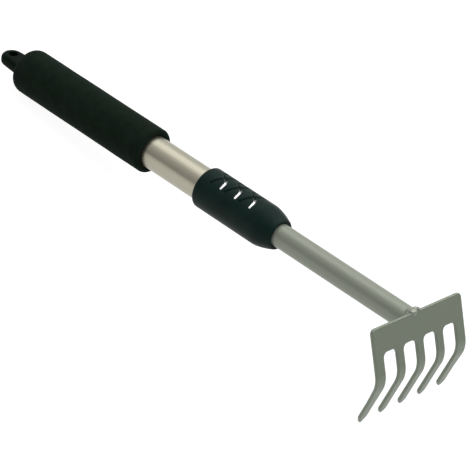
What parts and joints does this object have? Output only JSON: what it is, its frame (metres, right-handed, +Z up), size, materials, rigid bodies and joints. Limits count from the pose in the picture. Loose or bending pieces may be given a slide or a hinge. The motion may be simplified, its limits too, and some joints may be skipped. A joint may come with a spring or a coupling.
{
  "type": "telescopic hand rake",
  "caption": "Telescopic hand rake: foam-gripped tube with hanging eyelet, twist-lock collar, sliding inner tube and a welded bent-sheet head with short curved tines.",
  "frame": {"origin": "on the plane the tool lies on, under the middle of its bounding box", "axes": "+X level, from the hanging eyelet towards the rake head; +Y across the head; +Z up, away from the tine tips. The handle axis climbs 6.9 degrees towards the head"},
  "size_m": [0.4414, 0.0894, 0.0768],
  "materials": {
    "anodised_aluminium": "drawn tube, champagne satin anodised",
    "grip_foam": "closed-cell foam with a fine skin, very dark green-black",
    "dark_plastic": "moulded, satin, very dark green-black",
    "pale_plastic": "moulded, natural white",
    "black_rubber": "matte",
    "zinc_steel": "bright zinc plated",
    "grey_paint": "satin grey-green silver paint"
  },
  "bodies": {
    "handle": {"outer_tube": "anodised_aluminium", "foam_grip": "grip_foam", "hang_plug": "dark_plastic", "lock_sleeve": "pale_plastic"},
    "clamp": {"thrust_washer": "zinc_steel", "clamp_ring": "pale_plastic"},
    "collar": {"lock_collar": "dark_plastic", "wiper_ring": "black_rubber"},
    "slide_stop": {"stop_ring": "black_rubber"},
    "shaft": {"inner_tube": "grey_paint", "guide_bush": "pale_plastic", "bush_pin": "zinc_steel", "rake_head": "grey_paint", "weld_bead": "grey_paint"}
  },
  "joints": [
    {"name": "collar_advance", "type": "slide", "parent": "handle", "child": "clamp", "axis": [0.9928, 0, 0.1194], "range_m": [0, 0.002]},
    {"name": "collar_twist", "type": "hinge", "parent": "clamp", "child": "collar", "pos_m": [0.03403, 0, 0.04443], "axis": [0.9928, 0, 0.1194], "range_deg": [0, 180]},
    {"name": "shaft_slide", "type": "slide", "parent": "handle", "child": "slide_stop", "axis": [0.9928, 0, 0.1194], "range_m": [0, 0.16]},
    {"name": "shaft_turn", "type": "hinge", "parent": "slide_stop", "child": "shaft", "pos_m": [0.20798, 0, 0.06535], "axis": [0.9928, 0, 0.1194], "continuous": true}
  ],
  "couplings": [
    {"joint": "collar_advance", "follows": "collar_twist", "m_per_rad": 0.00063662}
  ]
}
